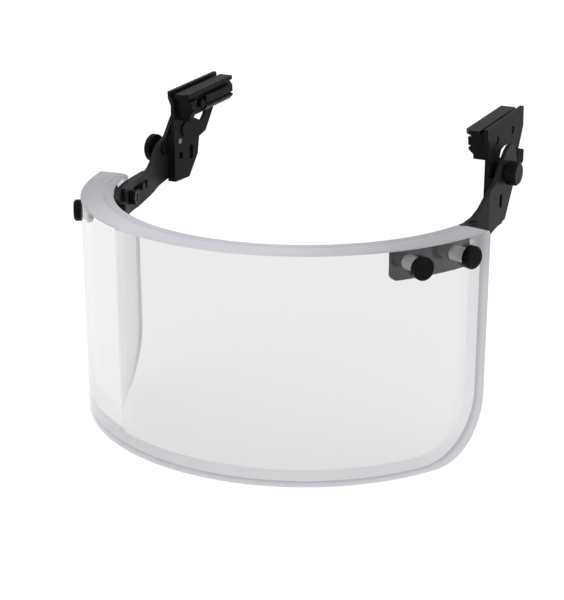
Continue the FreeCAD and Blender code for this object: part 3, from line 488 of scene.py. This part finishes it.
# %% The finishes
BLACK = (0.003, 0.003, 0.003)
SATIN = (0.006, 0.006, 0.0057)
CHARCOAL = (0.011, 0.011, 0.0105)
EDGE = (0.10, 0.10, 0.098)
FINISHES = {
    "powder_coat": metal_finish("powder_coat", CHARCOAL, EDGE, 0.5, 0.0, 2600.0, bump=0.3,
                                sheen_level=0.10),
    "anodised_plate": metal_finish("anodised_plate", SATIN, EDGE, 0.45, 0.0, 2200.0, bump=0.2),
    "drawn_anodised": metal_finish("drawn_anodised", SATIN, EDGE, 0.4, 0.0, 1400.0, (1, 0.05, 1)),
    "turned_anodised": metal_finish("turned_anodised", BLACK, EDGE, 0.36, 0.0, 1500.0, (0.1, 1, 1)),
    "black_oxide": metal_finish("black_oxide", BLACK, EDGE, 0.3, 0.0, 1800.0, wear=0.35),
    "turned_aluminium": metal_finish("turned_aluminium", (0.16, 0.16, 0.16), (0.4, 0.4, 0.4), 0.3, 1.0,
                                     900.0, (1, 0.1, 0.1), wear=0.2, sheen_level=0.5),
    "pale_sleeve": metal_finish("pale_sleeve", (0.90, 0.90, 0.91), (0.95, 0.95, 0.95), 0.35, 0.2, 900.0,
                                (1, 0.1, 0.1), wear=0.2, sheen_level=0.5),
    "black_nylon": metal_finish("black_nylon", BLACK, (0.03, 0.03, 0.03), 0.6, 0.0, 1700.0, wear=0.2),
}
FINISH_OF = {
    "powder_coat": ("visor_arm",),
    "anodised_plate": ("_leg", "visor_bracket"),
    "drawn_anodised": ("rail_adapter",),
    "turned_anodised": ("knob", "pivot_cap", "lock_button"),
    "black_oxide": ("visor_bolts", "arm_screws", "leg_screws", "clamp_screw", "bolt_nuts", "lock_nut",
                    "pivot_stud"),
    "turned_aluminium": ("detent_plunger", "lock_spring"),
    "pale_sleeve": ("bolt_sleeves",),
    "black_nylon": ("pivot_spacer", "leg_bumper"),
}
for finish, endings in FINISH_OF.items():
    for name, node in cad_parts.items():
        if name.endswith(endings):
            node.data.materials.clear()
            node.data.materials.append(FINISHES[finish])
print("finishes:", sorted(FINISHES))

# %% [markdown]
# ## Floor, light and camera
#
# A wide pale floor under a white sky gives the clean product look. The floor glows a little, so that
# shadows on it stay faint. The sky is brightest overhead and darker at the sides, so that the black
# metal stays black and only its upper faces and edges catch light. Three weak lamps shape it. The
# camera looks slightly down from the wearer's front left.

# %% Stage
FLOOR_SIZE = 8.0
FLOOR_GAP = 0.3 * MM
FLOOR_TONE = 0.30
FLOOR_GLOW = 0.74
SKY_LOW, SKY_HIGH = 0.50, 1.26
SKY_FULL = 0.8


def pale_floor():
    """Large square just under the shield that glows a little."""
    corners = np.array([(-1, -1, 0), (1, -1, 0), (1, 1, 0), (-1, 1, 0)]) * FLOOR_SIZE
    corners[:, 2] = FLOOR_Z - FLOOR_GAP
    mesh = bpy.data.meshes.new("floor")
    mesh.from_pydata(corners.tolist(), [], [(0, 1, 2, 3)])
    floor = bpy.data.objects.new("floor", mesh)
    bpy.context.scene.collection.objects.link(floor)
    material, tree, shader = new_material("pale_floor")
    shader.inputs["Base Color"].default_value = (FLOOR_TONE, FLOOR_TONE, FLOOR_TONE, 1)
    shader.inputs["Emission Color"].default_value = (1, 1, 1, 1)
    shader.inputs["Emission Strength"].default_value = FLOOR_GLOW
    shader.inputs["Roughness"].default_value = 1.0
    shader.inputs["Specular IOR Level"].default_value = 0.0
    mesh.materials.append(material)


def white_sky():
    """World that goes from a grey horizon to white overhead."""
    world = bpy.data.worlds.new("white_sky")
    world.use_nodes = True
    tree = world.node_tree
    place = add(tree, "ShaderNodeTexCoord")
    parts = add(tree, "ShaderNodeSeparateXYZ")
    tree.links.new(place.outputs["Generated"], parts.inputs[0])
    glow = remap(tree, parts.outputs["Z"], 0.0, SKY_FULL, SKY_LOW, SKY_HIGH)
    background = tree.nodes["Background"]
    background.inputs["Color"].default_value = (1, 1, 1, 1)
    feed(tree, background.inputs["Strength"], glow)
    bpy.context.scene.world = world


def soft_light(name, place, aim, size, watts):
    """Square lamp at a place, turned towards a point."""
    lamp = bpy.data.lights.new(name, "AREA")
    lamp.size = size
    lamp.energy = watts
    lamp_object = bpy.data.objects.new(name, lamp)
    bpy.context.scene.collection.objects.link(lamp_object)
    lamp_object.location = place
    lamp_object.rotation_euler = (Vector(aim) - Vector(place)).to_track_quat("-Z", "Y").to_euler()


pale_floor()
white_sky()
MIDDLE = (0, AXIS_Y, FLOOR_Z + HEIGHT / 2)
soft_light("key", (-0.9, -1.0, 1.3), MIDDLE, 0.9, 1.2)
soft_light("fill", (1.2, -0.6, 0.9), MIDDLE, 0.8, 0.8)
soft_light("back", (0.2, 1.2, 1.0), MIDDLE, 0.8, 1.2)
bpy.context.scene.view_settings.view_transform = "Standard"

# %% Camera
CAMERA_AZIMUTH = math.radians(29.7)
CAMERA_ELEVATION = math.radians(19.35)
CAMERA_PLACE = Vector((489.26, -886.84, 275.47)) * MM + Vector((0, AXIS_Y, FLOOR_Z + HEIGHT))
SENSOR_WIDTH = 36
LENS = 92.69
camera = bpy.data.cameras.new("camera")
camera.sensor_width = SENSOR_WIDTH
camera.lens = LENS
camera_object = bpy.data.objects.new("camera", camera)
bpy.context.scene.collection.objects.link(camera_object)
camera_object.location = CAMERA_PLACE
camera_object.rotation_euler = (math.pi / 2 - CAMERA_ELEVATION, 0, CAMERA_AZIMUTH)
bpy.context.scene.camera = camera_object
print("camera at", [round(v, 3) for v in CAMERA_PLACE])
